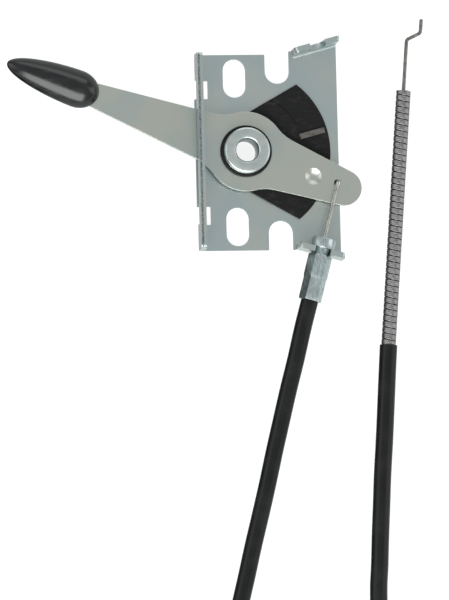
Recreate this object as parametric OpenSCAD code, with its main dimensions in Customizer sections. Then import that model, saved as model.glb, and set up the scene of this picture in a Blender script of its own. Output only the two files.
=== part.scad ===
// Lever-type throttle control: a bent steel bracket, a lever with a knob on a fixed pivot bush,
// a plastic detent plate, and a sheathed control cable held in the bracket's lower flange.
// Millimetres. The control lies on the back of its bracket at z = 0, with the origin on the pivot
// axis, +X from the pivot towards the cable hole in the lever and +Y up the bracket.

/* [Bracket] */
// Thickness of the sheet steel
sheet_t = 2; // [1.8:0.1:2.2]
// Height of the bracket along Y
bracket_h = 70.6; // [70:0.2:71.6]
// Pivot axis to the outer face of the guide flange
guide_reach = 17.6; // [17.4:0.1:18]
// Pivot axis to the right-hand edge
right_reach = 34; // [33.8:0.1:34.6]
// Height of the bent flanges above the back face
flange_h = 12; // [11.6:0.1:12.6]
// Width of the two mounting slots
slot_w = 8.3; // [8:0.1:8.6]
// End-to-end length of the two mounting slots
slot_l = 13.9; // [13:0.1:14.4]
// Distance between the centres of the mounting slots
slot_pitch = 53.6; // [53:0.2:54]
// Width of the notches in the top and bottom edges
edge_notch_w = 8.9; // [8.5:0.1:9.1]

/* [Pivot] */
// Outside diameter of the pivot bush
bush_d = 16.4; // [16:0.1:16.8]
// Bore of the pivot bush, for an M8 bolt
bush_bore = 8.1; // [8:0.1:8.4]
// Length of the pivot bush
bush_l = 10; // [9.6:0.1:10.6]

/* [Lever] */
// Thickness of the lever blade
lever_t = 1.6; // [1.5:0.1:1.8]
// Direction of the lever's cable arm, measured from +X
lever_angle = -21; // [-22:0.5:-20]
// Radius of the lever round the pivot
lever_hub_r = 14.35; // [14.1:0.05:14.6]
// Length of the moulded knob
knob_l = 34.7; // [33:0.1:36]
// Width of the moulded knob
knob_w = 13.6; // [13:0.1:14]
// Thickness of the moulded knob
knob_t = 10; // [9:0.1:10.4]

/* [Cable] */
// Outside diameter of the cable's plastic jacket
jacket_d = 6.3; // [6:0.1:6.3]
// Outside diameter of the close-wound steel conduit
conduit_d = 5.3; // [5:0.1:5.4]
// Length of conduit that the jacket leaves bare
bare_conduit_l = 92; // [85:1:95]
// Diameter of the inner wire
wire_d = 1.3; // [1.2:0.05:1.4]
// Across the flats of the crimped cable ferrule
ferrule_af = 7.6; // [7.4:0.1:8]

/* [Hidden] */

$fn = 64;
cut = 1; // how far a cutting shape runs past the material
running_gap = 0.05; // radial clearance of a running fit

// Bracket
bend_in_r = 1;
bend_out_r = bend_in_r + sheet_t;
bend_foot = 2; // flat strip beyond each bend, which overlaps the plate
half_h = bracket_h / 2;
slot_x = -3.1;
slot_y = slot_pitch / 2;
edge_notch_x = 12.45;
edge_notch_bottom = 24.75; // how far from the pivot axis the edge notches end, along Y
flange_angle = 15; // slope of the two short flanges, against X
flange_start_x = 17.6;
flange_l = (right_reach - flange_start_x) / cos(flange_angle);
flange_end_y = half_h + flange_l * sin(flange_angle);
flange_corner_r = 1.5;
upper_flange_rise = 1.2; // the upper short flange stands this much further from the pivot, along Y
lever_gap_half = 26; // half the length of the gap that the lever passes through, along Y
lever_gap_top = 6.6; // z of the top of that gap
tongue_half = 19.4; // half the width of the flat tongue in that gap
relief_x = -12.7; // how far the relief windows beside the tongue are cut in
peg_r = 1.5;
peg_reach = 17.2; // radius of the two pegs of the detent plate
peg_angle = 57;

// Pivot stack, from the front of the plate
bush_seat_d = 14.4; // spigot of the bush, pressed into the plate
hub_top = sheet_t + 1.3; // top of the detent plate's hub
track_top = sheet_t + 0.9; // floor of the track that the lever's dimple follows
rib_top = sheet_t + 1.6;
washer_t = 0.5;
washer_z = hub_top + 0.1;
lever_z = washer_z + washer_t + 0.1;
lever_top = lever_z + lever_t;
ring_z = lever_top + 0.1;
ring_t = 1;
ring_d = 18.6;

// Detent plate
fan_r = 31;
fan_angle = 51.7;
fan_hub_r = 11.7;
track_r = 21;
rib_angle = 15;
rib_start = 20.7;
rib_end = 30;
rib_w = 2;

// Lever blade, along its own X
cable_arm_l = 37.7; // to the centre of the rounded end
cable_arm_r = 6.4;
cable_arm_taper = 7.5;
knob_arm_l = 57;
knob_arm_r = 4.5;
knob_arm_taper = 5.9;
blend_r = 16; // concave blend between an arm and the hub
tang_l = 20; // part of the blade inside the knob
tang_half = 3;
dimple_x = 25.9;
dimple_r = 4.5; // inside radius of the pressed dimple
dimple_depth = 1.1;
dimple_wall = 1.4;
wire_hole_d = 2.4;

// Knob, along the lever
knob_rear = 56.5;
knob_widest = 64.5;
knob_z = 5.4;
knob_rings = 16;
knob_sides = 24;
knob_hole_x = 61.5; // moulding window behind the widest point
knob_hole_r = 1.1;

// Cable hole in the lever at rest, which the ferrule's axis passes over
pin_x = 32.8;
pin_y = -11.7;
wire_z = 6.8;
wire_r = wire_d / 2;

// Cable ferrule: distances along its axis from the cable hole
head_start = 20.9;
flange_offset = (pin_x - flange_start_x) * sin(flange_angle) + (pin_y + half_h) * cos(flange_angle);
neck_start = flange_offset - sheet_t - 0.05;
hex_start = flange_offset + 0.05;
crimp_start = hex_start + 8.6;
ferrule_end = hex_start + 17.2;
head_r = 4.3;
neck_r = 2.8;
flange_notch_r = 2.85;
ferrule_bore_r = 2.3;
crimp_af = ferrule_af - 0.4;

// Bends of the inner wire
lever_bend_r = 1.3;
lever_leg = 1.35;
lever_tail = 3;
lever_wire_l = 38; // reach of the wire from the cable hole into the ferrule
end_bend_r = 1.6;
end_bend_angle = 60;
end_wire_inside = 45; // part of the far wire inside the conduit
end_wire_bare = 17.8; // from the conduit's end to the first bend
end_leg = 3.8;
end_tip = 4.1;

// Conduit and liner
conduit_bore_d = 2.5;
liner_bore_d = wire_d + 0.2;
conduit_angle = 5; // the conduit leans this much from +Y towards +X
conduit_start = [50.1, -70.2, 3.2];
end_gap = 0.1; // between the end of a jacket run and the piece that it meets

// Routes of the jacket's two free runs; the coil joins them
lever_run = [[21.4, -54.3, 6.8], [18.8, -63.6, 6.8], [16, -75, 6.2], [13.1, -86, 5.2],
             [10.4, -97, 4.2], [7.7, -108, 3.5], [5.1, -119, 3.2], [2.3, -130, 3.2],
             [-0.6, -141, 3.2], [-3.3, -152, 3.2], [-6.1, -163, 3.2], [-8.9, -175, 3.2],
             [-11.6, -187, 3.3], [-14.3, -199, 3.6], [-16.7, -211, 4]];
end_run = [[58.1, -218, 10.4], [57.6, -211, 10.2], [56, -203, 9.2], [53, -194, 7],
           [49.3, -185, 4.8], [46, -176, 3.6], [44.3, -167, 3.2], [44.1, -158, 3.2],
           [44.7, -149, 3.2], [45.3, -138, 3.2], [46, -127, 3.2], [46.7, -116, 3.2],
           [47.6, -105, 3.2], [48.4, -94, 3.2], [49.2, -82.5, 3.2], [50.1, -70.2, 3.2]];
jacket_sides = 12;

// Coil: two turns side by side in two layers, on its ties
coil_centre = [20, -224];
coil_mid_r = 35;
tie_t = 0.9;
coil_z = tie_t;
tie_w = 5;
tie_angles = [125, -55];

steel = [0.66, 0.68, 0.68];
bright_steel = [0.74, 0.76, 0.76];
black_plastic = [0.06, 0.06, 0.06];
jacket_black = [0.1, 0.1, 0.1];
dull_steel = [0.42, 0.42, 0.41];
tie_white = [0.86, 0.86, 0.84];

// ---------- shared shapes ----------

// Slot along Y with round ends
module slot_2d(width, length) {
    for (side = [-1, 1])
        translate([0, side * (length - width) / 2])
            circle(d = width);
    square([width, length - width], center = true);
}

// Section of a bent edge: the outer face is at x = 0, the flat foot runs towards +X
module bend_section(height) {
    difference() {
        union() {
            translate([0, bend_out_r])
                square([sheet_t, height - bend_out_r]);
            translate([bend_out_r, 0])
                square([bend_foot, sheet_t]);
            intersection() {
                translate([bend_out_r, bend_out_r])
                    circle(bend_out_r);
                square(bend_out_r);
            }
        }
        translate([bend_out_r, bend_out_r])
            circle(bend_in_r);
    }
}

// Front outline of a flange: two rounded corners at its free edge
module flange_outline(length, height) {
    square([length, height - flange_corner_r]);
    translate([flange_corner_r, 0])
        square([length - 2 * flange_corner_r, height]);
    for (x = [flange_corner_r, length - flange_corner_r])
        translate([x, height - flange_corner_r])
            circle(flange_corner_r);
}

// Bent flange along +Y, with its outer face at x = 0 and its foot towards +X
module bent_flange(length) {
    intersection() {
        translate([0, length, 0])
            rotate([90, 0, 0])
                linear_extrude(length)
                    bend_section(flange_h);
        rotate([90, 0, 90])
            linear_extrude(bend_out_r + bend_foot)
                flange_outline(length, flange_h);
    }
}

// Puts its children in the frame of a short flange: +Y along it, +X into the plate
module at_short_flange(side) {
    translate([0, side > 0 ? upper_flange_rise : 0, 0])
        mirror([0, side > 0 ? 1 : 0, 0])
            translate([right_reach, -flange_end_y, 0])
                rotate([0, 0, 90 - flange_angle])
                    children();
}

// Wire heading along +Y that turns right by an angle, or left by a negative one
module wire_bend(radius, angle) {
    translate([sign(angle) * radius, 0, 0])
        rotate([0, 0, angle > 0 ? 180 - angle : 0])
            rotate_extrude(angle = abs(angle))
                translate([radius, 0])
                    circle(wire_r);
}

// Moves its children to the end of such a turn
module after_bend(radius, angle) {
    translate([sign(angle) * radius * (1 - cos(angle)), radius * sin(abs(angle)), 0])
        rotate([0, 0, -angle])
            children();
}

// Straight round bar along +Y
module bar(radius, length) {
    rotate([-90, 0, 0])
        cylinder(r = radius, h = length);
}

// Ring round Z
module washer(outer_d, inner_d, thickness) {
    difference() {
        cylinder(d = outer_d, h = thickness);
        translate([0, 0, -cut])
            cylinder(d = inner_d, h = thickness + 2 * cut);
    }
}

function unit(v) = v / norm(v);
function tangent(path, i) = unit(path[min(i + 1, len(path) - 1)] - path[max(i - 1, 0)]);

// One ring of points square to the path, starting level with its side
function ring_points(centre, along, radius, sides) =
    let (across = unit(cross([0, 0, 1], along)), up = cross(along, across))
    [for (k = [0 : sides - 1])
        centre + radius * (cos(360 * k / sides) * across + sin(360 * k / sides) * up)];

// Faces of a closed skin over rings of equal size
function skin_faces(rings, sides) = concat(
    [[for (k = [0 : sides - 1]) k]],
    [for (i = [0 : rings - 2], k = [0 : sides - 1])
        [i * sides + k, (i + 1) * sides + k, (i + 1) * sides + (k + 1) % sides,
         i * sides + (k + 1) % sides]],
    [[for (k = [sides - 1 : -1 : 0]) (rings - 1) * sides + k]]);

// Round tube along a path, with one ring at each of its points
module tube(path, radius, sides) {
    points = [for (i = [0 : len(path) - 1])
        each ring_points(path[i], tangent(path, i), radius, sides)];
    polyhedron(points, skin_faces(len(path), sides));
}

// ---------- bracket ----------

module plate_outline() {
    difference() {
        polygon([[bend_out_r - guide_reach, -half_h], [flange_start_x, -half_h],
                 [right_reach, -flange_end_y], [right_reach, flange_end_y + upper_flange_rise],
                 [flange_start_x, half_h + upper_flange_rise],
                 [edge_notch_x, half_h + upper_flange_rise], [edge_notch_x, half_h],
                 [bend_out_r - guide_reach, half_h]]);
        for (side = [-1, 1]) {
            translate([slot_x, side * slot_y])
                slot_2d(slot_w, slot_l);
            translate([edge_notch_x, side * (edge_notch_bottom + edge_notch_w)])
                slot_2d(edge_notch_w, 2 * edge_notch_w);
            rotate(side * peg_angle)
                translate([peg_reach, 0])
                    circle(peg_r + running_gap);
        }
        circle(d = bush_seat_d);
    }
}

// Space that the two short flanges' bends take from the plate
module flange_clearance(side) {
    at_short_flange(side)
        translate([-cut, -2 * cut, -cut])
            cube([bend_out_r + cut, flange_l + 2 * cut, sheet_t + 2 * cut]);
}

// Open notch in a short flange, round at its bottom, that the ferrule's neck drops into
module flange_notch(side) {
    from_start = (pin_x - flange_start_x) * cos(flange_angle) - (pin_y + half_h) * sin(flange_angle);
    at_short_flange(side)
        translate([-cut, flange_l - from_start, wire_z])
            rotate([0, 90, 0]) {
                cylinder(r = flange_notch_r, h = sheet_t + 2 * cut);
                translate([-2 * flange_h, -flange_notch_r, 0])
                    cube([2 * flange_h, 2 * flange_notch_r, sheet_t + 2 * cut]);
            }
}

module guide_flange() {
    difference() {
        translate([-guide_reach, -half_h, 0])
            bent_flange(bracket_h);
        translate([-guide_reach - cut, -lever_gap_half, -cut])
            cube([relief_x + guide_reach + cut, 2 * lever_gap_half, lever_gap_top + cut]);
    }
    translate([-guide_reach, -tongue_half, 0])
        cube([relief_x + guide_reach + cut, 2 * tongue_half, sheet_t]);
}

module bracket() {
    color(steel) {
        guide_flange();
        difference() {
            linear_extrude(sheet_t)
                plate_outline();
            for (side = [-1, 1]) {
                flange_clearance(side);
                translate([-guide_reach - cut, side > 0 ? tongue_half : -lever_gap_half, -cut])
                    cube([relief_x + guide_reach + cut, lever_gap_half - tongue_half, sheet_t + 2 * cut]);
            }
        }
        for (side = [-1, 1])
            intersection() {
                difference() {
                    at_short_flange(side)
                        bent_flange(flange_l);
                    flange_notch(side);
                }
                translate([0, -2 * half_h, -cut])
                    cube([right_reach, 4 * half_h, flange_h + 2 * cut]);
            }
    }
}

// ---------- pivot and detent ----------

module pivot_bush() {
    chamfer = 0.5;
    color(bright_steel)
        rotate_extrude()
            polygon([[bush_bore / 2, 0], [bush_seat_d / 2, 0], [bush_seat_d / 2, sheet_t],
                     [bush_d / 2, sheet_t], [bush_d / 2, bush_l - chamfer],
                     [bush_d / 2 - chamfer, bush_l], [bush_bore / 2 + chamfer, bush_l],
                     [bush_bore / 2, bush_l - chamfer]]);
}

module fan_outline() {
    side_angle = fan_angle + acos(fan_hub_r / fan_r);
    touch = fan_hub_r * [cos(side_angle), sin(side_angle)];
    corner = fan_r * [cos(fan_angle), sin(fan_angle)];
    beyond = 1.4 * fan_r * [cos(30), sin(30)];
    intersection() {
        circle(fan_r);
        polygon([touch, corner, beyond, [beyond.x, -beyond.y], [corner.x, -corner.y],
                 [touch.x, -touch.y]]);
    }
    circle(fan_hub_r);
}

module detent_plate() {
    color(black_plastic) {
        difference() {
            translate([0, 0, sheet_t])
                linear_extrude(hub_top - sheet_t)
                    fan_outline();
            translate([0, 0, track_top])
                difference() {
                    cylinder(r = fan_r + cut, h = hub_top);
                    translate([0, 0, -cut])
                        cylinder(r = track_r, h = hub_top + 2 * cut);
                }
            cylinder(d = bush_d + 0.1, h = hub_top + cut);
        }
        rotate([0, 0, rib_angle])
            translate([rib_start, -rib_w / 2, sheet_t + 0.1])
                cube([rib_end - rib_start, rib_w, rib_top - sheet_t - 0.1]);
        for (side = [-1, 1])
            rotate([0, 0, side * peg_angle])
                translate([peg_reach, 0, 0.2])
                    cylinder(r = peg_r, h = hub_top - 0.3);
    }
}

module spring_washer() {
    color(dull_steel)
        translate([0, 0, washer_z])
            washer(22, bush_d + 0.4, washer_t);
}

module retaining_ring() {
    color(black_plastic)
        translate([0, 0, ring_z])
            washer(ring_d, bush_d, ring_t);
}

// ---------- lever ----------

function arc(centre, radius, from, to, steps) =
    [for (i = [0 : steps])
        let (a = from + (to - from) * i / steps)
        centre + radius * [cos(a), sin(a)]];

// Upper edge of a tapered arm along +X, from a point on its round end to where it meets the hub
function arm_edge(length, end_r, taper, start) =
    let (normal = [sin(taper), cos(taper)],
         reach = length * sin(taper) + end_r, // distance from the pivot to the edge
         run = sqrt(pow(lever_hub_r + blend_r, 2) - pow(reach + blend_r, 2)),
         centre = (reach + blend_r) * normal + run * [cos(taper), -sin(taper)])
    concat(arc([length, 0], end_r, start, 90 - taper, 9),
           arc(centre, blend_r, 270 - taper, 180 + atan2(centre.y, centre.x), 7));

function mirrored(points, side) =
    [for (i = [len(points) - 1 : -1 : 0]) [points[i].x * side.x, points[i].y * side.y]];

// Blade along X: the cable arm on +X, the knob arm and its tang on -X
module blade_outline() {
    cable_edge = arm_edge(cable_arm_l, cable_arm_r, cable_arm_taper, 0);
    knob_edge = concat([[knob_arm_l + tang_l, tang_half]],
                       arm_edge(knob_arm_l, knob_arm_r, knob_arm_taper, asin(tang_half / knob_arm_r)));
    last = cable_edge[len(cable_edge) - 1];
    first = knob_edge[len(knob_edge) - 1];
    hub = arc([0, 0], lever_hub_r, atan2(last.y, last.x), 180 - atan2(first.y, first.x), 14);
    upper = concat(cable_edge, [for (i = [1 : len(hub) - 2]) hub[i]], mirrored(knob_edge, [-1, 1]));
    polygon(concat(upper, mirrored([for (i = [1 : len(upper) - 1]) upper[i]], [1, -1])));
}

module lever() {
    ball_z = lever_top + dimple_r - dimple_depth;
    color(steel)
        rotate([0, 0, lever_angle])
            difference() {
                union() {
                    translate([0, 0, lever_z])
                        linear_extrude(lever_t)
                            blade_outline();
                    intersection() {
                        translate([dimple_x, 0, ball_z])
                            sphere(dimple_r + dimple_wall);
                        translate([dimple_x - dimple_r, -dimple_r, lever_z - lever_t])
                            cube([2 * dimple_r, 2 * dimple_r, 1.5 * lever_t]);
                    }
                }
                translate([dimple_x, 0, ball_z])
                    sphere(dimple_r);
                translate([0, 0, lever_z - cut])
                    cylinder(d = bush_d + 2 * running_gap, h = lever_t + 2 * cut);
                rotate([0, 0, -lever_angle])
                    translate([pin_x, pin_y, lever_z - cut])
                        cylinder(d = wire_hole_d, h = lever_t + 2 * cut);
            }
}

// Teardrop: share of the full width and thickness at a distance along the lever
function knob_share(x) = x < knob_widest
    ? sqrt(1 - pow((knob_widest - x) / (knob_widest - knob_rear), 2))
    : sqrt(1 - pow((x - knob_widest) / (knob_rear + knob_l - knob_widest), 1.7));

// Distances of the knob's rings, closer together at its two ends
function knob_station(i) = knob_rear + knob_l * (1 - cos(180 * (i + 0.5) / knob_rings)) / 2;

module knob() {
    points = [for (i = [0 : knob_rings - 1], k = [0 : knob_sides - 1])
        let (x = knob_station(i), share = knob_share(x), a = 360 * k / knob_sides)
        [-x, share * knob_w / 2 * cos(a), knob_z + share * knob_t / 2 * sin(a)]];
    color(black_plastic)
        rotate([0, 0, lever_angle])
            difference() {
                polyhedron(points, skin_faces(knob_rings, knob_sides));
                translate([0, 0, lever_z])
                    linear_extrude(lever_t)
                        blade_outline();
                translate([-knob_hole_x, 0, lever_top + 1])
                    cylinder(r = knob_hole_r, h = knob_t);
            }
}

// ---------- cable ----------

// Frame over the cable hole, with +Y along the ferrule's axis and away from the ferrule
module at_cable_hole() {
    translate([pin_x, pin_y, wire_z])
        rotate([0, 0, -flange_angle])
            children();
}

module cable_ferrule() {
    color(bright_steel)
        at_cable_hole()
            rotate([90, 0, 0])
                difference() {
                    union() {
                        translate([0, 0, head_start])
                            cylinder(r = head_r, h = neck_start - head_start);
                        translate([0, 0, neck_start - 0.1])
                            cylinder(r = neck_r, h = hex_start - neck_start + 0.2);
                        translate([0, 0, hex_start])
                            cylinder(d = ferrule_af / cos(30), h = crimp_start - hex_start, $fn = 6);
                        translate([0, 0, crimp_start - 0.1])
                            cylinder(d = crimp_af / cos(30), h = ferrule_end - crimp_start + 0.1,
                                     $fn = 6);
                    }
                    translate([0, 0, head_start - cut])
                        cylinder(r = ferrule_bore_r, h = ferrule_end - head_start + 2 * cut);
                    translate([0, 0, head_start - 0.1])
                        cylinder(r1 = ferrule_bore_r + 0.9, r2 = ferrule_bore_r, h = 0.9);
                }
}

// Inner wire at the lever: it lies over the blade, drops through the hole and turns under it
module lever_wire() {
    color(bright_steel)
        at_cable_hole()
            rotate([0, 90, 0])
                translate([0, -lever_bend_r, 0]) {
                    translate([0, lever_bend_r - lever_wire_l, 0])
                        bar(wire_r, lever_wire_l - lever_bend_r);
                    wire_bend(lever_bend_r, 90);
                    after_bend(lever_bend_r, 90) {
                        bar(wire_r, lever_leg);
                        translate([0, lever_leg, 0]) {
                            wire_bend(lever_bend_r, -90);
                            after_bend(lever_bend_r, -90)
                                bar(wire_r, lever_tail);
                        }
                    }
                }
}

module jacket_lever_run() {
    color(jacket_black)
        tube(lever_run, jacket_d / 2, jacket_sides);
}

module jacket_end_run() {
    color(jacket_black)
        tube(end_run, jacket_d / 2, jacket_sides);
}

// Outline of the coil's four turns, grown by a margin
module coil_section(margin) {
    corner_r = jacket_d / 2 + margin;
    for (x = [-1, 1], y = [-1, 1])
        translate([coil_mid_r + x * jacket_d / 2, coil_z + jacket_d + y * jacket_d / 2])
            circle(corner_r);
    translate([coil_mid_r - jacket_d - margin, coil_z + jacket_d / 2])
        square([2 * jacket_d + 2 * margin, jacket_d]);
    translate([coil_mid_r - jacket_d / 2, coil_z - margin])
        square([jacket_d, 2 * jacket_d + 2 * margin]);
}

module jacket_coil() {
    color(jacket_black)
        translate(coil_centre)
            rotate_extrude()
                coil_section(0);
}

// Band round the coil's section
module coil_tie(angle) {
    spread = tie_w / coil_mid_r * 180 / PI;
    color(tie_white)
        translate(coil_centre)
            rotate([0, 0, angle - spread / 2])
                rotate_extrude(angle = spread)
                    difference() {
                        coil_section(tie_t);
                        coil_section(0);
                    }
}

module coil_tie_left() {
    coil_tie(tie_angles[0]);
}

module coil_tie_right() {
    coil_tie(tie_angles[1]);
}

// Frame at the end of the jacket, with +Y along the bare conduit
module at_conduit() {
    translate(conduit_start)
        rotate([0, 0, -conduit_angle])
            children();
}

module bare_conduit() {
    color(dull_steel)
        at_conduit()
            translate([0, end_gap, 0])
                difference() {
                    bar(conduit_d / 2, bare_conduit_l);
                    translate([0, -cut, 0])
                        bar(conduit_bore_d / 2, bare_conduit_l + 2 * cut);
                }
}

module conduit_liner() {
    recess = 0.4;
    color(tie_white)
        at_conduit()
            translate([0, end_gap, 0])
                difference() {
                    bar(conduit_bore_d / 2, bare_conduit_l - recess);
                    translate([0, -cut, 0])
                        bar(liner_bore_d / 2, bare_conduit_l + 2 * cut);
                }
}

// Inner wire at the far end: it slides in the liner and ends in a Z bend
module carburettor_wire() {
    color(dull_steel)
        at_conduit()
            translate([0, end_gap + bare_conduit_l + end_wire_bare, 0]) {
                translate([0, -end_wire_bare - end_wire_inside, 0])
                    bar(wire_r, end_wire_bare + end_wire_inside);
                wire_bend(end_bend_r, end_bend_angle);
                after_bend(end_bend_r, end_bend_angle) {
                    bar(wire_r, end_leg);
                    translate([0, end_leg, 0]) {
                        wire_bend(end_bend_r, -end_bend_angle);
                        after_bend(end_bend_r, -end_bend_angle)
                            bar(wire_r, end_tip);
                    }
                }
            }
}

bracket();
pivot_bush();
detent_plate();
spring_washer();
retaining_ring();
lever();
knob();
cable_ferrule();
lever_wire();
jacket_lever_run();
jacket_coil();
coil_tie_left();
coil_tie_right();
jacket_end_run();
bare_conduit();
conduit_liner();
carburettor_wire();
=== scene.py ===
"""Lever throttle control with its cable: looks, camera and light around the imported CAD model.

Shapes are written in millimetres and meshes are made in metres, both in the CAD model's own frame:
the origin is on the pivot axis at the back of the bracket, +X points towards the cable hole and +Y
up the bracket.
"""
import math

import bmesh
import bpy
from mathutils import Matrix, Vector, noise


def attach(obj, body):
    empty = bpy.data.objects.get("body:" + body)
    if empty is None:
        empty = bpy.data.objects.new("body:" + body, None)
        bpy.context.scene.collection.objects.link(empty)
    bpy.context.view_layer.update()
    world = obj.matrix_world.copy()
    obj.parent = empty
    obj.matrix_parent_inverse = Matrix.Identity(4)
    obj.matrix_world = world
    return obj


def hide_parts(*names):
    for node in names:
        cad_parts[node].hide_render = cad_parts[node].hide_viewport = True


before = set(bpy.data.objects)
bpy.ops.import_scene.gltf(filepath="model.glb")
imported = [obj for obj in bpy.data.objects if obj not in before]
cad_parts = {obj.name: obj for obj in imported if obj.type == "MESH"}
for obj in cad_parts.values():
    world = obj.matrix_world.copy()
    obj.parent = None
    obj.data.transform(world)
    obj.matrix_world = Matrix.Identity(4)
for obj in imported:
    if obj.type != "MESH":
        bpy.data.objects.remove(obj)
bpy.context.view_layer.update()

MM = 0.001

# Layout that the CAD model fixes, in millimetres and degrees
PIVOT_BORE_R = 4.05
BUSH_R = 8.2
BUSH_SEAT_R = 7.2
BUSH_L = 10
SHEET_T = 2
RIB_TOP = 3.6
RING_Z = 5.7
RING_T = 1
RING_R = 9.3
WASHER_Z = 3.4
WASHER_T = 0.5
WASHER_R = 11
WASHER_BORE_R = 8.4
LEVER_ANGLE = -21
KNOB_REAR = 56.5
KNOB_WIDEST = 64.5
KNOB_L = 34.7
KNOB_HALF_W = 6.8
KNOB_HALF_T = 5
KNOB_Z = 5.4
CABLE_HOLE = Vector((32.8, -11.7, 6.8))
FLANGE_ANGLE = 15
WIRE_R = 0.65
CONDUIT_START = Vector((50.1, -70.2, 3.2))
CONDUIT_ANGLE = 5
CONDUIT_R = 2.65
CONDUIT_BORE_R = 1.25
CONDUIT_L = 92
END_GAP = 0.1
JACKET_D = 6.3

# The jacket's two free runs, and the coil between them
LEVER_RUN = [
    (21.4, -54.3, 6.8), (18.8, -63.6, 6.8), (16, -75, 6.2), (13.1, -86, 5.2), (10.4, -97, 4.2),
    (7.7, -108, 3.5), (5.1, -119, 3.2), (2.3, -130, 3.2), (-0.6, -141, 3.2), (-3.3, -152, 3.2),
    (-6.1, -163, 3.2), (-8.9, -175, 3.2), (-11.6, -187, 3.3), (-14.3, -199, 3.6), (-16.7, -211, 4),
]
END_RUN = [
    (58.1, -218, 10.4), (57.6, -211, 10.2), (56, -203, 9.2), (53, -194, 7), (49.3, -185, 4.8),
    (46, -176, 3.6), (44.3, -167, 3.2), (44.1, -158, 3.2), (44.7, -149, 3.2), (45.3, -138, 3.2),
    (46, -127, 3.2), (46.7, -116, 3.2), (47.6, -105, 3.2), (48.4, -94, 3.2), (49.2, -82.5, 3.2),
    (50.1, -70.2, 3.2),
]
COIL_CENTRE = Vector((20, -224, 0))
COIL_MID_R = 35
COIL_Z = 0.9  # the coil lies on its ties, which are this thick
COIL_STEP = 15  # degrees between the coil's points
TIE_W = 5
TIE_ANGLES = {"coil_tie_left": 125, "coil_tie_right": -55}

# Torn line along the top of the guide flange, which only the material shows
TORN_LINE_X = -17.05
TORN_LINE_FROM_Z = 11.6


# ---------- camera ----------

def add_camera():
    """Long lens from the photograph's angle, a little to the lower left of square on."""
    look_at = Vector((-8.65, -53.06, 2)) * MM
    distance = 2.0
    seen_height = 214.7 * MM
    up = Vector((0.0252, 0.9997, 0))
    z_axis = Vector((-0.13, -0.09, 1)).normalized()  # from the object towards the camera
    x_axis = up.cross(z_axis).normalized()
    y_axis = z_axis.cross(x_axis)
    data = bpy.data.cameras.new("camera")
    data.sensor_width = 36
    data.lens = data.sensor_width * distance / seen_height
    data.clip_start = 0.01
    data.clip_end = 20
    camera = bpy.data.objects.new("camera", data)
    camera.matrix_world = Matrix.Translation(look_at + distance * z_axis) @ Matrix(
        (x_axis, y_axis, z_axis)).transposed().to_4x4()
    bpy.context.scene.collection.objects.link(camera)
    bpy.context.scene.camera = camera


# ---------- shared mesh tools ----------

def smoothstep(low, high, x):
    t = min(max((x - low) / (high - low), 0), 1)
    return t * t * (3 - 2 * t)


def mesh_object(name, verts, faces, smooth_below=35):
    """New object from millimetre vertices; edges sharper than smooth_below degrees stay crisp."""
    mesh = bpy.data.meshes.new(name)
    mesh.from_pydata([Vector(v) * MM for v in verts], [], faces)
    mesh.update()
    made = bpy.data.objects.new(name, mesh)
    bpy.context.scene.collection.objects.link(made)
    tidy_normals(mesh)
    shade(mesh, smooth_below)
    return made


def tidy_normals(mesh):
    work = bmesh.new()
    work.from_mesh(mesh)
    bmesh.ops.recalc_face_normals(work, faces=work.faces)
    work.to_mesh(mesh)
    work.free()


def shade(mesh, smooth_below):
    mesh.shade_smooth()
    mesh.set_sharp_from_angle(angle=math.radians(smooth_below))


def apply_modifiers(made):
    """Freezes the object's modifiers into its mesh."""
    graph = bpy.context.evaluated_depsgraph_get()
    final = bpy.data.meshes.new_from_object(made.evaluated_get(graph))
    made.modifiers.clear()
    made.data = final


def bridge(rings, closed=False):
    """Quads between rings of equal size; closed joins the last ring to the first."""
    size = len(rings[0])
    verts = [v for ring in rings for v in ring]
    faces = []
    for i in range(len(rings) if closed else len(rings) - 1):
        a = i * size
        b = (i + 1) % len(rings) * size
        for k in range(size):
            n = (k + 1) % size
            faces.append((a + k, a + n, b + n, b + k))
    return verts, faces


def lathe(name, profile, steps=96, height=None):
    """Turned ring round Z from a closed (radius, z) profile; height(angle) may lift each step."""
    rings = []
    for i in range(steps):
        a = 2 * math.pi * i / steps
        lift = height(a) if height else 0
        rings.append([(r * math.cos(a), r * math.sin(a), z + lift) for r, z in profile])
    return mesh_object(name, *bridge(rings, closed=True))


def frames_along(path):
    """(point, side, up) at each path point, turned as little as possible from one to the next."""
    tangents = []
    for i in range(len(path)):
        tangents.append((path[min(i + 1, len(path) - 1)] - path[max(i - 1, 0)]).normalized())
    side = tangents[0].cross(Vector((0, 0, 1)))
    if side.length < 0.1:
        side = tangents[0].cross(Vector((1, 0, 0)))
    side.normalize()
    frames = []
    for point, tangent in zip(path, tangents):
        side = (side - side.dot(tangent) * tangent).normalized()
        frames.append((point, side, tangent.cross(side)))
    return frames


def tube(name, path, radius, sides=24, end_round=0.2):
    """Solid round bar along a millimetre path, with its two ends rounded off."""
    start = (path[0] - path[1]).normalized()
    finish = (path[-1] - path[-2]).normalized()
    points = [path[0], path[0] - start * end_round] + path[1:-1]
    points += [path[-1] - finish * end_round, path[-1]]
    radii = [radius - end_round] + [radius] * (len(points) - 2) + [radius - end_round]
    rings = []
    for (point, side, up), r in zip(frames_along(points), radii):
        angles = [2 * math.pi * k / sides for k in range(sides)]
        rings.append([point + r * (math.cos(a) * side + math.sin(a) * up) for a in angles])
    verts, faces = bridge(rings)
    faces.append(tuple(range(sides)))
    faces.append(tuple(range((len(rings) - 1) * sides, len(rings) * sides)))
    return mesh_object(name, verts, faces)


def arc_points(centre, first, second, angle, steps):
    """Points on an arc from centre + first towards second, two radii at right angles."""
    angles = [math.radians(angle) * i / steps for i in range(1, steps + 1)]
    return [centre + math.cos(a) * first + math.sin(a) * second for a in angles]


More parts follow.
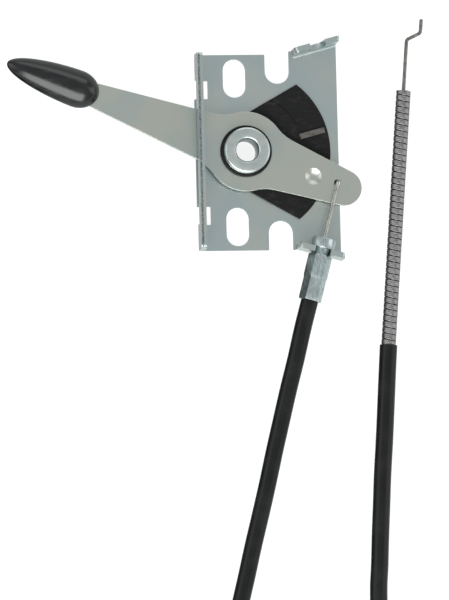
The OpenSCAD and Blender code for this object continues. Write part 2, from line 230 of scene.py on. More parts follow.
def place(mesh_owner, matrix):
    """Moves a millimetre-built mesh into the object frame, keeping the object at the origin."""
    to_metres = Matrix.Translation(matrix.translation * MM) @ matrix.to_3x3().to_4x4()
    mesh_owner.data.transform(to_metres)
    mesh_owner.data.update()
    return mesh_owner


def at_cable_hole():
    """Frame over the cable hole, with -Y along the ferrule's axis."""
    return Matrix.Translation(CABLE_HOLE) @ Matrix.Rotation(math.radians(-FLANGE_ANGLE), 4, "Z")


def at_conduit():
    """Frame at the jacket's far end, with +Y along the bare conduit."""
    return Matrix.Translation(CONDUIT_START) @ Matrix.Rotation(
        math.radians(-CONDUIT_ANGLE), 4, "Z")


def hand_in(piece, body, slot, material, *nodes):
    """Rides the piece on its body, hides the nodes it stands for, and paints it; slot is not used.
    """
    piece.data.materials.clear()
    piece.data.materials.append(material)
    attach(piece, body)
    if nodes:
        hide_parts(*nodes)
    return piece


# ---------- materials ----------

def add_node(tree, kind, inputs=None, **settings):
    """New shader node; an input is linked if its value is a socket, and set otherwise."""
    made = tree.nodes.new(kind)
    for key, value in settings.items():
        setattr(made, key, value)
    for key, value in (inputs or {}).items():
        if isinstance(value, bpy.types.NodeSocket):
            tree.links.new(value, made.inputs[key])
        else:
            made.inputs[key].default_value = value
    return made


def calculate(tree, operation, a, b=0.0, clamp=False):
    made = add_node(tree, "ShaderNodeMath", {0: a, 1: b}, operation=operation, use_clamp=clamp)
    return made.outputs[0]


def remap(tree, value, low, high, to_low=0.0, to_high=1.0):
    """Smoothly maps value from low..high to to_low..to_high."""
    made = add_node(tree, "ShaderNodeMapRange", {
        "Value": value, "From Min": low, "From Max": high, "To Min": to_low, "To Max": to_high},
        interpolation_type="SMOOTHSTEP")
    return made.outputs["Result"]


def blend_colours(tree, share, first, second):
    made = add_node(tree, "ShaderNodeMix", data_type="RGBA")
    for key, value in ((0, share), (6, first), (7, second)):  # the node's factor, A and B sockets
        if isinstance(value, bpy.types.NodeSocket):
            tree.links.new(value, made.inputs[key])
        else:
            made.inputs[key].default_value = value
    return made.outputs[2]


def noise_at(tree, place_socket, scale, detail=3.0, stretch=(1, 1, 1), rotation=0.0, rough=0.5):
    """Noise in object space; scale is in features per metre before the stretch."""
    turned = add_node(tree, "ShaderNodeMapping", {
        "Vector": place_socket, "Rotation": (0, 0, rotation), "Scale": stretch})
    made = add_node(tree, "ShaderNodeTexNoise", {
        "Vector": turned.outputs[0], "Scale": scale, "Detail": detail, "Roughness": rough})
    return made.outputs[0]


def bump(tree, height, distance, strength=1.0, below=None):
    """Surface relief; distance is the height in metres of a full step."""
    inputs = {"Height": height, "Distance": distance, "Strength": strength}
    if below is not None:
        inputs["Normal"] = below
    return add_node(tree, "ShaderNodeBump", inputs).outputs[0]


def new_material(name, **constants):
    """(material, tree, shader, object-space place); constants go on the shader's own sockets."""
    material = bpy.data.materials.new(name)
    material.use_nodes = True
    tree = material.node_tree
    shader = tree.nodes["Principled BSDF"]
    for key, value in constants.items():
        shader.inputs[key.replace("_", " ")].default_value = value
    where = add_node(tree, "ShaderNodeTexCoord").outputs["Object"]
    return material, tree, shader, where


def split(tree, vector):
    return add_node(tree, "ShaderNodeSeparateXYZ", {0: vector}).outputs


def zinc(name, cool, warm, grain_angle, roughness):
    """Bright zinc plate on rolled sheet: cloudy tint, fine rolling grain, dark sheared edges."""
    torn_tint = (0.12, 0.13, 0.125, 1)
    material, tree, shader, where = new_material(name, Metallic=1.0)
    clouds = noise_at(tree, where, 60, 2)
    grain = noise_at(tree, where, 900, 4, (1, 14, 1), math.radians(grain_angle), 0.6)
    specks = noise_at(tree, where, 2600, 2)
    tint = blend_colours(tree, remap(tree, clouds, 0.38, 0.64), cool, warm)
    facing = add_node(tree, "ShaderNodeNewGeometry").outputs["True Normal"]
    upright = calculate(tree, "ABSOLUTE", split(tree, facing)[2])
    sheared = remap(tree, upright, 0.25, 0.05, 0, 0.3)
    x, _, z = split(tree, where)[:3]
    off_line = calculate(tree, "ABSOLUTE", calculate(tree, "SUBTRACT", x, TORN_LINE_X * MM))
    near_top = remap(tree, z, TORN_LINE_FROM_Z * MM, (TORN_LINE_FROM_Z + 0.2) * MM)
    torn_line = calculate(tree, "MULTIPLY", near_top, remap(tree, off_line, 0.5 * MM, 0.3 * MM))
    torn_face = calculate(tree, "MAXIMUM", sheared, torn_line)
    torn = noise_at(tree, where, 3200, 2, (1, 1, 0.5), 0, 0.7)
    torn_share = calculate(tree, "MULTIPLY", torn_face, remap(tree, torn, 0.4, 0.52))
    colour = blend_colours(tree, torn_share, tint, torn_tint)
    tree.links.new(colour, shader.inputs["Base Color"])
    smooth_rough = remap(tree, grain, 0.3, 0.7, roughness - 0.05, roughness + 0.06)
    rough = calculate(tree, "ADD", smooth_rough, calculate(tree, "MULTIPLY", torn_share, 0.18))
    tree.links.new(rough, shader.inputs["Roughness"])
    relief = bump(tree, grain, 0.003 * MM, 0.3)
    relief = bump(tree, specks, 0.004 * MM, 0.25, relief)
    relief = bump(tree, torn_share, 0.02 * MM, 0.5, relief)
    tree.links.new(relief, shader.inputs["Normal"])
    return material


def turned_steel(name, rings_per_mm):
    """Zinc plated turned steel, with fine turning rings round the pivot axis and painted shade on
    the bore wall.
    """
    material, tree, shader, where = new_material(name, Metallic=1.0)
    x, y, z = split(tree, where)[:3]
    radius = calculate(tree, "SQRT", calculate(
        tree, "ADD", calculate(tree, "MULTIPLY", x, x), calculate(tree, "MULTIPLY", y, y)))
    phase = calculate(tree, "ADD", radius, calculate(tree, "MULTIPLY", z, 0.7))
    rings = calculate(tree, "SINE", calculate(
        tree, "MULTIPLY", phase, 2 * math.pi * rings_per_mm / MM))
    clouds = noise_at(tree, where, 350, 4)
    colour = blend_colours(tree, remap(tree, clouds, 0.35, 0.65),
                           (0.66, 0.735, 0.725, 1), (0.735, 0.785, 0.755, 1))
    # painted shade: the bore wall is coloured dark teal, standing in for shade inside the hole
    painted_bore_shade = remap(tree, radius, (PIVOT_BORE_R + 0.3) * MM, (PIVOT_BORE_R + 0.06) * MM)
    colour = blend_colours(tree, painted_bore_shade, colour, (0.09, 0.13, 0.125, 1))
    tree.links.new(colour, shader.inputs["Base Color"])
    tree.links.new(remap(tree, clouds, 0.3, 0.7, 0.29, 0.35), shader.inputs["Roughness"])
    tree.links.new(bump(tree, rings, 0.004 * MM, 0.5), shader.inputs["Normal"])
    return material


def ferrule_steel():
    """Bright zinc on the crimped ferrule, dented and streaked along its length."""
    material, tree, shader, where = new_material("ferrule_steel", Metallic=1.0)
    streaks = noise_at(tree, where, 500, 4, (5, 1, 1), math.radians(FLANGE_ANGLE), 0.6)
    dents = noise_at(tree, where, 420, 3)
    colour = blend_colours(tree, remap(tree, streaks, 0.36, 0.62),
                           (0.40, 0.50, 0.52, 1), (0.66, 0.715, 0.71, 1))
    tree.links.new(colour, shader.inputs["Base Color"])
    tree.links.new(remap(tree, dents, 0.3, 0.7, 0.28, 0.42), shader.inputs["Roughness"])
    relief = bump(tree, dents, 0.02 * MM, 0.5)
    relief = bump(tree, streaks, 0.008 * MM, 0.5, relief)
    tree.links.new(relief, shader.inputs["Normal"])
    return material


def drawn_wire(name, light, dark, roughness):
    """Hard-drawn wire: a fine bright skin with dull patches and die marks."""
    material, tree, shader, where = new_material(name, Metallic=1.0)
    marks = noise_at(tree, where, 900, 4, (3, 0.5, 3), 0, 0.65)
    patches = noise_at(tree, where, 180, 3)
    mixed = calculate(tree, "MULTIPLY", remap(tree, marks, 0.35, 0.65),
                      remap(tree, patches, 0.3, 0.6, 0.5, 1))
    tree.links.new(blend_colours(tree, mixed, dark, light), shader.inputs["Base Color"])
    tree.links.new(remap(tree, patches, 0.3, 0.7, roughness - 0.06, roughness + 0.1),
                   shader.inputs["Roughness"])
    tree.links.new(bump(tree, marks, 0.01 * MM, 0.5), shader.inputs["Normal"])
    return material


def conduit_steel():
    """Close-wound flat wire: grey mill finish, with painted shade darkening the gaps between the
    turns.
    """
    material, tree, shader, where = new_material("conduit_steel", Metallic=1.0)
    start = CONDUIT_START * MM
    local = add_node(tree, "ShaderNodeVectorMath", {0: where, 1: start}, operation="SUBTRACT")
    turned = add_node(tree, "ShaderNodeVectorRotate", {
        "Vector": local.outputs[0], "Axis": (0, 0, 1), "Angle": math.radians(CONDUIT_ANGLE)},
        rotation_type="AXIS_ANGLE")
    x, _, z = split(tree, turned.outputs[0])[:3]
    radius = calculate(tree, "SQRT", calculate(
        tree, "ADD", calculate(tree, "MULTIPLY", x, x), calculate(tree, "MULTIPLY", z, z)))
    # painted shade: a near-black colour below the outer skin darkens the gaps between the turns
    painted_gap_shade = remap(tree, radius, (CONDUIT_R - 0.03) * MM, (CONDUIT_R - 0.2) * MM)
    scuffs = noise_at(tree, where, 700, 4, (1, 2.5, 1), 0, 0.6)
    skin = blend_colours(tree, remap(tree, scuffs, 0.3, 0.7),
                         (0.28, 0.28, 0.275, 1), (0.41, 0.41, 0.40, 1))
    colour = blend_colours(tree, painted_gap_shade, skin, (0.02, 0.019, 0.018, 1))
    tree.links.new(colour, shader.inputs["Base Color"])
    tree.links.new(remap(tree, scuffs, 0.3, 0.7, 0.34, 0.5), shader.inputs["Roughness"])
    tree.links.new(bump(tree, scuffs, 0.012 * MM, 0.5), shader.inputs["Normal"])
    return material


def black_nylon(name, rubbed_above):
    """Moulded black nylon with scuffs, worn pale above a height in millimetres."""
    fade = 0.13
    material, tree, shader, where = new_material(name, Specular_IOR_Level=0.22)
    z = split(tree, where)[2]
    grain = noise_at(tree, where, 1400, 3)
    scuffs = noise_at(tree, where, 240, 5, (1, 3.5, 1), math.radians(-35), 0.65)
    body = blend_colours(tree, remap(tree, scuffs, 0.52, 0.72),
                         (0.0085, 0.009, 0.0085, 1), (0.026, 0.026, 0.025, 1))
    rubbed = calculate(tree, "MULTIPLY",
                       remap(tree, z, rubbed_above * MM, (rubbed_above + fade) * MM),
                       remap(tree, noise_at(tree, where, 900, 4), 0.3, 0.5, 0.55, 1))
    colour = blend_colours(tree, rubbed, body, (0.125, 0.118, 0.105, 1))
    tree.links.new(colour, shader.inputs["Base Color"])
    tree.links.new(remap(tree, scuffs, 0.35, 0.7, 0.46, 0.62), shader.inputs["Roughness"])
    relief = bump(tree, grain, 0.015 * MM, 0.4)
    tree.links.new(bump(tree, scuffs, 0.03 * MM, 0.3, relief), shader.inputs["Normal"])
    return material


def knob_plastic():
    """Glossy black moulded knob with faint handling marks."""
    material, tree, shader, where = new_material("knob_plastic", Specular_IOR_Level=0.6)
    smears = noise_at(tree, where, 160, 5, (1, 2.5, 1), math.radians(LEVER_ANGLE), 0.6)
    marks = noise_at(tree, where, 2200, 2)
    colour = blend_colours(tree, remap(tree, smears, 0.4, 0.7),
                           (0.006, 0.0065, 0.007, 1), (0.016, 0.017, 0.018, 1))
    tree.links.new(colour, shader.inputs["Base Color"])
    tree.links.new(remap(tree, smears, 0.3, 0.75, 0.15, 0.27), shader.inputs["Roughness"])
    tree.links.new(bump(tree, marks, 0.004 * MM, 0.2), shader.inputs["Normal"])
    return material


def jacket_pvc():
    """Black extruded PVC: satin, with faint draw lines and dust."""
    material, tree, shader, where = new_material("jacket_pvc", Specular_IOR_Level=0.3)
    dust = noise_at(tree, where, 120, 5, rough=0.6)
    skin = noise_at(tree, where, 1800, 3)
    colour = blend_colours(tree, remap(tree, dust, 0.45, 0.75),
                           (0.006, 0.0065, 0.0065, 1), (0.0125, 0.013, 0.0125, 1))
    tree.links.new(colour, shader.inputs["Base Color"])
    tree.links.new(remap(tree, dust, 0.3, 0.7, 0.3, 0.42), shader.inputs["Roughness"])
    relief = bump(tree, skin, 0.012 * MM, 0.35)
    tree.links.new(bump(tree, dust, 0.05 * MM, 0.25, relief), shader.inputs["Normal"])
    return material


def dark_spring():
    """Phosphated spring steel: near black, with grey rubbed high spots."""
    material, tree, shader, where = new_material("spring_steel", Metallic=0.6)
    rub = noise_at(tree, where, 600, 4)
    colour = blend_colours(tree, remap(tree, rub, 0.5, 0.75),
                           (0.018, 0.019, 0.018, 1), (0.10, 0.10, 0.095, 1))
    tree.links.new(colour, shader.inputs["Base Color"])
    tree.links.new(remap(tree, rub, 0.3, 0.7, 0.4, 0.55), shader.inputs["Roughness"])
    tree.links.new(bump(tree, rub, 0.01 * MM, 0.4), shader.inputs["Normal"])
    return material


def pale_plastic(name, dark, light, clear):
    """Milky nylon or liner plastic, with light passing into it and a slight moulded grain."""
    material, tree, shader, where = new_material(
        name, Subsurface_Weight=clear, Subsurface_Scale=1.5 * MM, Specular_IOR_Level=0.5)
    grain = noise_at(tree, where, 900, 3)
    clouds = noise_at(tree, where, 150, 3)
    colour = blend_colours(tree, remap(tree, clouds, 0.35, 0.65), dark, light)
    tree.links.new(colour, shader.inputs["Base Color"])
    tree.links.new(remap(tree, grain, 0.3, 0.7, 0.32, 0.46), shader.inputs["Roughness"])
    tree.links.new(bump(tree, grain, 0.01 * MM, 0.3), shader.inputs["Normal"])
    return material


def floor_paper():
    material, tree, shader, where = new_material(
        "floor_paper", Specular_IOR_Level=0.1, Emission_Color=(1, 1, 1, 1),
        Emission_Strength=0.85)
    fibres = noise_at(tree, where, 700, 3)
    colour = blend_colours(tree, fibres, (0.34, 0.34, 0.34, 1), (0.37, 0.37, 0.37, 1))
    tree.links.new(colour, shader.inputs["Base Color"])
    tree.links.new(remap(tree, fibres, 0.3, 0.7, 0.8, 0.9), shader.inputs["Roughness"])
    return material


# ---------- jacket and its coil ----------

def coil_point(angle):
    """Point of the coil at an angle counted from +X over all its turns, which start at 180.

    The first turn lies outside on the bottom and the second inside it. The third lies on the
    second, and the last half turn on the first. Each change of place is over before the next.
    """
    inward = smoothstep(450, 510, angle)
    upward = smoothstep(765, 825, angle)
    outward = smoothstep(1090, 1145, angle)
    radius = COIL_MID_R + JACKET_D * (0.5 - inward + outward)
    height = COIL_Z + JACKET_D * (0.5 + upward)
    a = math.radians(angle)
    return COIL_CENTRE + Vector((radius * math.cos(a), radius * math.sin(a), height))


def jacket_route():
    """Centreline in millimetres: out of the ferrule, round the coil and back to the conduit."""
    coil = [coil_point(angle) for angle in range(180, 1441, COIL_STEP)]
    return [Vector(p) for p in LEVER_RUN] + coil + [Vector(p) for p in END_RUN]


def make_jacket():
    data = bpy.data.curves.new("cable_jacket", "CURVE")
    data.dimensions = "3D"
    data.resolution_u = 6
    data.bevel_depth = JACKET_D / 2 * MM
    data.bevel_resolution = 7
    data.use_fill_caps = True
    spline = data.splines.new("BEZIER")
    route = jacket_route()
    spline.bezier_points.add(len(route) - 1)
    for knot, point in zip(spline.bezier_points, route):
        knot.co = point * MM
        knot.handle_left_type = "AUTO"
        knot.handle_right_type = "AUTO"
    jacket = bpy.data.objects.new("cable_jacket", data)
    bpy.context.scene.collection.objects.link(jacket)
    return jacket


# ---------- pieces ----------

def bevelled_copy(node, name, width, angle=32, segments=2):
    """Copy of a CAD node, with its flat faces rejoined and its sharp edges eased."""
    merge_distance = 0.003 * MM
    made = bpy.data.objects.new(name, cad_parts[node].data.copy())
    bpy.context.scene.collection.objects.link(made)
    work = bmesh.new()
    work.from_mesh(made.data)
    bmesh.ops.remove_doubles(work, verts=work.verts, dist=merge_distance)
    bmesh.ops.dissolve_limit(work, angle_limit=math.radians(0.4), verts=work.verts,
                             edges=work.edges, delimit={"NORMAL"})
    work.to_mesh(made.data)
    work.free()
    made.data.shade_smooth()
    ease = made.modifiers.new("ease", "BEVEL")
    ease.width = width * MM
    ease.segments = segments
    ease.limit_method = "ANGLE"
    ease.angle_limit = math.radians(angle)
    ease.use_clamp_overlap = True
    flatten = made.modifiers.new("flatten", "WEIGHTED_NORMAL")
    flatten.weight = 90
    apply_modifiers(made)
    return made


def make_bush():
    """Turned bush: a polished chamfer outside, a countersunk bore and a shoulder on the plate."""
    r_in, r_out, r_seat = PIVOT_BORE_R, BUSH_R, BUSH_SEAT_R
    profile = [
        (r_in, 0.3), (r_in + 0.3, 0), (r_seat - 0.15, 0), (r_seat, 0.15), (r_seat, SHEET_T),
        (r_out - 0.1, SHEET_T), (r_out, SHEET_T + 0.1), (r_out, BUSH_L - 0.62),
        (r_out - 0.06, BUSH_L - 0.46), (r_out - 0.46, BUSH_L - 0.06), (r_out - 0.62, BUSH_L),
        (r_in + 0.66, BUSH_L), (r_in + 0.5, BUSH_L - 0.05), (r_in + 0.05, BUSH_L - 0.5),
        (r_in, BUSH_L - 0.66),
    ]
    return lathe("pivot_bush_turned", profile, steps=128)


def make_retaining_ring():
    """Pressed ring with a domed rim."""
    inner, outer, low, high = BUSH_R + 0.02, RING_R, RING_Z, RING_Z + RING_T
    profile = [(inner, low), (outer - 0.25, low), (outer, low + 0.25), (outer, high - 0.45),
               (outer - 0.15, high - 0.12), (outer - 0.45, high), (inner, high)]
    return lathe("retaining_ring_domed", profile, steps=96)


def make_spring_washer():
    """Thin washer pressed into three shallow waves."""
    waves = 3
    rise = 0.06
    low, high, ease = WASHER_Z + 0.02, WASHER_Z + WASHER_T - 0.02, 0.08
    profile = [(WASHER_BORE_R + ease, low), (WASHER_R - ease, low), (WASHER_R, low + ease),
               (WASHER_R, high - ease), (WASHER_R - ease, high), (WASHER_BORE_R + ease, high),
               (WASHER_BORE_R, high - ease), (WASHER_BORE_R, low + ease)]
    return lathe("wave_washer", profile, steps=90, height=lambda a: rise * math.sin(waves * a))


def knob_share(x):
    """Share of the knob's full width at a distance from the pivot."""
    if x < KNOB_WIDEST:
        return math.sqrt(max(1 - ((KNOB_WIDEST - x) / (KNOB_WIDEST - KNOB_REAR)) ** 2, 0))
    nose = KNOB_REAR + KNOB_L - KNOB_WIDEST
    return math.sqrt(max(1 - ((x - KNOB_WIDEST) / nose) ** 1.7, 0))


def knob_section(x, a):
    """Point of the knob's skin, drawn out to a soft lengthwise ridge on its front and back."""
    share = knob_share(x)
    across = math.cos(a)
    flank = 1 - abs(across) ** 1.55
    depth = math.copysign(max(flank, 0) ** (1 / 1.75), math.sin(a))
    return (-x, share * KNOB_HALF_W * across, KNOB_Z + share * KNOB_HALF_T * depth)


def make_knob():
    """Teardrop knob with its moulding hole behind the widest point."""
    rings_count = 72
    sides = 96
    rings = []
    for i in range(1, rings_count):
        x = KNOB_REAR + KNOB_L * (1 - math.cos(math.pi * i / rings_count)) / 2
        angles = [2 * math.pi * (k + 0.5) / sides for k in range(sides)]
        rings.append([knob_section(x, a) for a in angles])
    verts, faces = bridge(rings)
    ends = [(-KNOB_REAR, 0, KNOB_Z), (-KNOB_REAR - KNOB_L, 0, KNOB_Z)]
    for tip, first in zip(ends, (0, (len(rings) - 1) * sides)):
        verts.append(tip)
        faces += [(first + k, first + (k + 1) % sides, len(verts) - 1) for k in range(sides)]
    knob = mesh_object("knob_moulded", verts, faces, 40)
    drill_knob(knob)
    place(knob, Matrix.Rotation(math.radians(LEVER_ANGLE), 4, "Z"))
    return knob


def drill_knob(knob):
    """Cuts the small moulding hole in the front of the knob."""
    sides = 20
    hole_x, hole_y, hole_r, floor_z = 57.9, -2.2, 0.55, 6.6
    rings = []
    for z in (floor_z, KNOB_Z + 2 * KNOB_HALF_T):
        angles = [2 * math.pi * k / sides for k in range(sides)]
        rings.append([(-hole_x + hole_r * math.cos(a), hole_y + hole_r * math.sin(a), z)
                      for a in angles])
    verts, faces = bridge(rings)
    faces += [tuple(range(sides)), tuple(range(sides, 2 * sides))]
    drill = mesh_object("drill", verts, faces)
    cut = knob.modifiers.new("cut", "BOOLEAN")
    cut.object = drill
    cut.operation = "DIFFERENCE"
    cut.solver = "EXACT"
    apply_modifiers(knob)
    bpy.data.objects.remove(drill)
    shade(knob.data, 40)


def hex_ring(along, flats, corner_cut, sides=96, dent=0.0):
    """Hexagon with a flat on top and its corners turned off, as a ring across the ferrule."""
    ring = []
    for k in range(sides):
        a = 2 * math.pi * k / sides
        from_flat = math.degrees(a) % 60 - 30  # flats face 30, 90, 150 ... degrees
        reach = flats / 2 / math.cos(math.radians(from_flat))
        reach = min(reach, flats / 2 / math.cos(math.radians(30)) - corner_cut)
        reach -= dent * (0.5 + 0.5 * math.cos(math.radians(6 * from_flat)))
        ring.append((reach * math.cos(a), -along, reach * math.sin(a)))
    return ring


def round_ring(along, radius, sides=96):
    angles = [2 * math.pi * k / sides for k in range(sides)]
    return [(radius * math.cos(a), -along, radius * math.sin(a)) for a in angles]


def make_ferrule():
    """Ferrule: flanged head, neck in the bracket's notch, hexagon body and its crimped half."""
    flats, crimped_flats = 7.6, 7.2
    head_r, neck_r, bore_r = 4.3, 2.8, 2.3
    head, neck, body, step, end = 20.9, 24.66, 26.8, 34.9, 43.98  # distances from the cable hole
    rings = [
        round_ring(head + 0.9, bore_r), round_ring(head + 0.05, bore_r + 0.85),
        round_ring(head, bore_r + 1), round_ring(head, head_r - 0.35),
        round_ring(head + 0.1, head_r - 0.1), round_ring(head + 0.3, head_r),
        round_ring(neck - 0.36, head_r), round_ring(neck - 0.11, head_r - 0.1),
        round_ring(neck, head_r - 0.4), round_ring(neck, neck_r),
        round_ring(body, neck_r), round_ring(body, neck_r + 0.55),
        hex_ring(body + 0.06, flats - 0.9, 0.6), hex_ring(body + 0.3, flats - 0.35, 0.35),
        hex_ring(body + 0.75, flats, 0.1), hex_ring(body + 2.2, flats, 0.06),
        hex_ring(step, flats, 0.06), hex_ring(step + 0.45, flats - 0.14, 0.05),
        hex_ring(step + 1.1, crimped_flats, 0.04),
        hex_ring(step + 2.1, crimped_flats, 0.03, dent=0.05),
        hex_ring(step + 4.6, crimped_flats, 0.03, dent=0.12),
        hex_ring(step + 7.1, crimped_flats, 0.03, dent=0.06),
        hex_ring(end - 0.48, crimped_flats, 0.04), hex_ring(end - 0.13, crimped_flats - 0.15, 0.12),
        hex_ring(end, crimped_flats - 0.55, 0.25),
        round_ring(end, bore_r + 0.75), round_ring(end - 0.28, bore_r + 0.6),
        round_ring(end - 0.78, bore_r),
    ]
    verts, faces = bridge(rings, closed=True)
    ferrule = mesh_object("ferrule_crimped", verts, faces, 32)
    return place(ferrule, at_cable_hole())


def make_lever_wire():
    """Wire over the blade, down through the cable hole and along under the blade."""
    bend, leg, tail, reach = 1.3, 1.35, 3, 38
    up, along = Vector((0, 0, 1)), Vector((0, 1, 0))
    over = [-along * reach * i / 12 for i in range(12, 0, -1)] + [-along * bend]
    turn_down = arc_points(-along * bend - up * bend, up * bend, along * bend, 90, 10)
    corner = -up * (bend + leg)
    turn_under = arc_points(corner + along * bend, -along * bend, -up * bend, 90, 10)
    last = turn_under[-1]
    path = over + turn_down + [corner] + turn_under + [last + along * tail * i / 3
                                                       for i in (1, 2, 3)]
    wire = tube("lever_wire_drawn", path, WIRE_R - 0.003, end_round=0.25)
    return place(wire, at_cable_hole())


def make_end_wire():
    """Wire out of the conduit, with the Z bend that hooks into the engine's lever."""
    inside, bare, bend, angle, leg, tip = 45, 17.8, 1.6, 60, 3.8, 4.1
    start = Vector((0, END_GAP + CONDUIT_L - inside, 0))
    elbow = Vector((0, END_GAP + CONDUIT_L + bare, 0))
    x, along = Vector((1, 0, 0)), Vector((0, 1, 0))
    path = [start.lerp(elbow, i / 16) for i in range(17)]
    path += arc_points(elbow + x * bend, -x * bend, along * bend, angle, 9)
    heading = Vector((math.sin(math.radians(angle)), math.cos(math.radians(angle)), 0))
    square = Vector((heading.y, -heading.x, 0))
    path += [path[-1] + heading * leg * i / 3 for i in (1, 2, 3)]
    path += arc_points(path[-1] - square * bend, square * bend, heading * bend, angle, 9)
    path += [path[-1] + along * tip * i / 3 for i in (1, 2, 3)]
    wire = tube("carburettor_wire_bent", path, WIRE_R - 0.003, end_round=0.2)
    return place(wire, at_conduit())


def groove(share, centre, half_width):
    """1 in the middle of a groove and 0 outside it, where share runs from 0 to 1 round a turn."""
    away = abs((share - centre + 0.5) % 1 - 0.5)
    return 1 - smoothstep(0, half_width, away)


def make_conduit():
    """Close-wound conduit: an open gap at each turn, and two fine lines in between."""
    pitch = 2.16
    gap_depth, line_depth = 0.4, 0.07
    ring_spacing = 0.135
    sides = 36
    margin = 0.02  # keeps the skin inside the CAD solid
    length = CONDUIT_L - 2 * margin
    count = round(length / ring_spacing)
    rings = []
    for i in range(count + 1):
        y = margin + length * i / count
        ring = []
        for k in range(sides):
            a = 2 * math.pi * k / sides
            share = (y / pitch - k / sides) % 1
            turn = Vector((y / pitch, 0.35 * math.cos(a), 0.35 * math.sin(a)))
            wobble = min(0.025 * noise.noise(turn), margin)
            sunk = gap_depth * groove(share, 0.5, 0.1)
            sunk += line_depth * (groove(share, 0.17, 0.07) + groove(share, 0.83, 0.07))
            r = CONDUIT_R - margin - sunk + wobble
            ring.append((r * math.cos(a), y, r * math.sin(a)))
        rings.append(ring)
    for y in (CONDUIT_L, 0):
        rings.append(round_ring(-y, CONDUIT_BORE_R + margin, sides))
    verts, faces = bridge(rings, closed=True)
    conduit = mesh_object("conduit_wound", verts, faces, 60)
    conduit.data.transform(Matrix.Translation((0, END_GAP * MM, 0)))
    return place(conduit, at_conduit())


def section_outline(margin):
    """Rounded square round the coil's four turns, as (radius, z) points with a margin."""
    corner = JACKET_D / 2 + margin
    points = []
    for quarter in range(4):
        middle = 45 + 90 * quarter
        cx = COIL_MID_R + math.copysign(JACKET_D / 2, math.cos(math.radians(middle)))
        cz = COIL_Z + JACKET_D + math.copysign(JACKET_D / 2, math.sin(math.radians(middle)))
        for step in range(9):
            a = math.radians(90 * quarter + 90 * step / 8)
            points.append((cx + corner * math.cos(a), cz + corner * math.sin(a)))
    return points


def make_tie(name, angle):
    """Cable tie: a strap round the coil's section, with its head and its cut, ribbed tail on top."""
    strap_t = 0.85
    fit_gap = 0.03
    half = TIE_W / 2
    rings = []
    for (ri, zi), (ro, zo) in zip(section_outline(fit_gap), section_outline(strap_t)):
        rings.append([(ri, -half, zi), (ri, half, zi), (ro, half, zo), (ro, -half, zo)])
    verts, faces = bridge(rings, closed=True)
    strap = mesh_object(name, verts, faces, 40)
    top = COIL_Z + 2 * JACKET_D + strap_t
    head = block(name + "_head", (COIL_MID_R + 0.5, 0, top + 1.1), (4.4, 6.6, 2.9))
    tail = block(name + "_tail", (COIL_MID_R - 4.2, 0, top + 1.05), (5.4, 4.2, 1.1))
    rib_count, rib_spacing = 5, 0.85
    first_rib = COIL_MID_R - 6.3
    ribs = [block(name + "_rib", (first_rib + rib_spacing * i, 0, top + 1.66), (0.4, 3, 0.22))
            for i in range(rib_count)]
    join(strap, [head, tail] + ribs)
    ease = strap.modifiers.new("ease", "BEVEL")
    ease.width = 0.22 * MM
    ease.segments = 2
    ease.limit_method = "ANGLE"
    ease.angle_limit = math.radians(50)
    ease.harden_normals = True
    apply_modifiers(strap)
    turn = Matrix.Translation(COIL_CENTRE) @ Matrix.Rotation(math.radians(angle), 4, "Z")
    return place(strap, turn)


def block(name, centre, size):
    """Plain block to be joined to a larger piece."""
    corners = [(x, y, z) for x in (-0.5, 0.5) for y in (-0.5, 0.5) for z in (-0.5, 0.5)]
    verts = [tuple(c + s * k for c, s, k in zip(centre, size, corner)) for corner in corners]
    faces = [(0, 1, 3, 2), (4, 6, 7, 5), (0, 4, 5, 1), (2, 3, 7, 6), (0, 2, 6, 4), (1, 5, 7, 3)]
    return mesh_object(name, verts, faces, 30)


def join(target, others):
    """Adds the other objects' meshes to the target's and removes them."""
    work = bmesh.new()
    work.from_mesh(target.data)
    for other in others:
        work.from_mesh(other.data)
        bpy.data.objects.remove(other)
    work.to_mesh(target.data)
    work.free()
    target.data.shade_smooth()


# ---------- stage ----------

def add_floor():
    """Large lit white floor, just under the object's back face."""
    half = 3000
    floor = mesh_object("floor", [(-half, -half, 0), (half, -half, 0), (half, half, 0),
                                  (-half, half, 0)], [(0, 1, 2, 3)])
    floor.location.z = -0.06 * MM
    floor.data.materials.append(floor_paper())
    floor.visible_glossy = False  # bright metal reflects the darker surround instead


def softbox(name, direction, distance, width, height, radiance):
    """Soft studio light that faces the object; the camera doesn't see it."""
    data = bpy.data.lights.new(name, "AREA")
    data.shape = "RECTANGLE"
    data.size = width
    data.size_y = height
    data.energy = radiance * width * height * math.pi
    lamp = bpy.data.objects.new(name, data)
    away = Vector(direction).normalized()
    aimed_at = Vector((0, -50, 0)) * MM
    lamp.location = aimed_at + distance * away
    lamp.rotation_mode = "QUATERNION"
    lamp.rotation_quaternion = away.to_track_quat("Z", "Y")
    lamp.visible_camera = False
    bpy.context.scene.collection.objects.link(lamp)


def grey_ramp(tree, value, stops):
    """Colour ramp through (position, grey) stops, a little cooler than neutral."""
    ramp = add_node(tree, "ShaderNodeValToRGB", {"Fac": value})
    elements = ramp.color_ramp.elements
    while len(elements) < len(stops):
        elements.new(0.5)
    for element, (position, grey) in zip(elements, stops):
        element.position = position
        element.color = (0.97 * grey, grey, grey, 1)
    return ramp.outputs["Color"]


def add_world():
    """Studio surround: grey overhead, bright at the horizon, and dark below on the left."""
    world = bpy.data.worlds.new("studio")
    world.use_nodes = True
    bpy.context.scene.world = world
    tree = world.node_tree
    direction = add_node(tree, "ShaderNodeTexCoord").outputs["Generated"]
    x, _, height = split(tree, direction)[:3]
    above = grey_ramp(tree, height, [(0.12, 0.85), (0.38, 0.37), (0.93, 0.49)])
    from_left = calculate(tree, "ADD", x, 1.0)
    below = grey_ramp(tree, calculate(tree, "MULTIPLY", from_left, 0.5),
                      [(0.25, 0.05), (0.38, 1.1), (0.8, 0.8)])
    colour = blend_colours(tree, remap(tree, height, -0.05, 0.08), below, above)
    tree.links.new(colour, tree.nodes["Background"].inputs["Color"])


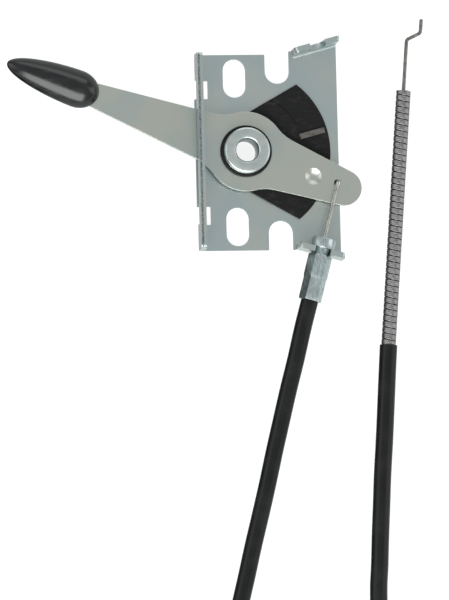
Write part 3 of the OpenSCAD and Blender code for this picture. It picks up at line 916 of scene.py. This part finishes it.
def add_lights():
    softbox("key_below", (-0.25, -0.80, 0.80), 1.5, 1.5, 0.9, 4.6)
    softbox("fill_above", (0.2, 0.85, 0.50), 1.6, 1.4, 0.5, 1.2)
    softbox("side_left", (-0.95, 0.1, 0.55), 1.5, 1.0, 0.8, 1.0)
    softbox("side_right", (0.95, 0.1, 0.50), 1.5, 1.0, 0.8, 1.0)


# ---------- build ----------

add_camera()
jacket = make_jacket()
ties = {name: make_tie(name + "_strap", angle) for name, angle in TIE_ANGLES.items()}
conduit = make_conduit()
end_wire = make_end_wire()

hand_in(jacket, "base", "jacket_pvc", jacket_pvc(),
        "jacket_lever_run", "jacket_coil", "jacket_end_run")
tie_nylon = pale_plastic("tie_nylon", (0.70, 0.70, 0.66, 1), (0.80, 0.80, 0.77, 1), 0.3)
for name, strap in ties.items():
    hand_in(strap, "base", "tie_nylon", tie_nylon, name)
hand_in(conduit, "base", "conduit_steel", conduit_steel(), "bare_conduit")
hand_in(end_wire, "wire_at_engine", "wire_steel",
        drawn_wire("end_wire_steel", (0.42, 0.42, 0.39, 1), (0.17, 0.17, 0.155, 1), 0.36),
        "carburettor_wire")
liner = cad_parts["conduit_liner"]
liner.data.materials.clear()
liner.data.materials.append(
    pale_plastic("liner_plastic", (0.60, 0.59, 0.55, 1), (0.72, 0.71, 0.68, 1), 0.2))

sheet_zinc = zinc("zinc_sheet", cool=(0.56, 0.645, 0.65, 1), warm=(0.62, 0.67, 0.635, 1),
                  grain_angle=90, roughness=0.34)
blade_zinc = zinc("zinc_blade", cool=(0.575, 0.635, 0.60, 1), warm=(0.635, 0.655, 0.60, 1),
                  grain_angle=LEVER_ANGLE, roughness=0.36)
hand_in(bevelled_copy("bracket", "bracket_sheet", 0.22), "base", "zinc_sheet", sheet_zinc,
        "bracket")
hand_in(bevelled_copy("lever", "lever_blade", 0.2), "lever_arm", "zinc_blade", blade_zinc, "lever")
hand_in(bevelled_copy("detent_plate", "detent_fan", 0.15), "base", "black_nylon",
        black_nylon("black_nylon", rubbed_above=RIB_TOP - 0.18), "detent_plate")
hand_in(make_bush(), "base", "turned_steel", turned_steel("turned_steel", 4), "pivot_bush")
hand_in(make_retaining_ring(), "base", "black_nylon",
        black_nylon("ring_nylon", rubbed_above=RING_Z + 2 * RING_T), "retaining_ring")
hand_in(make_spring_washer(), "base", "spring_steel", dark_spring(), "spring_washer")
hand_in(make_knob(), "lever_arm", "knob_plastic", knob_plastic(), "knob")
hand_in(make_ferrule(), "base", "turned_steel", ferrule_steel(), "cable_ferrule")
hand_in(make_lever_wire(), "wire_at_lever", "wire_steel",
        drawn_wire("lever_wire_steel", (0.74, 0.73, 0.68, 1), (0.42, 0.41, 0.37, 1), 0.3),
        "lever_wire")

add_floor()
add_world()
add_lights()
bpy.context.scene.view_settings.view_transform = "Standard"
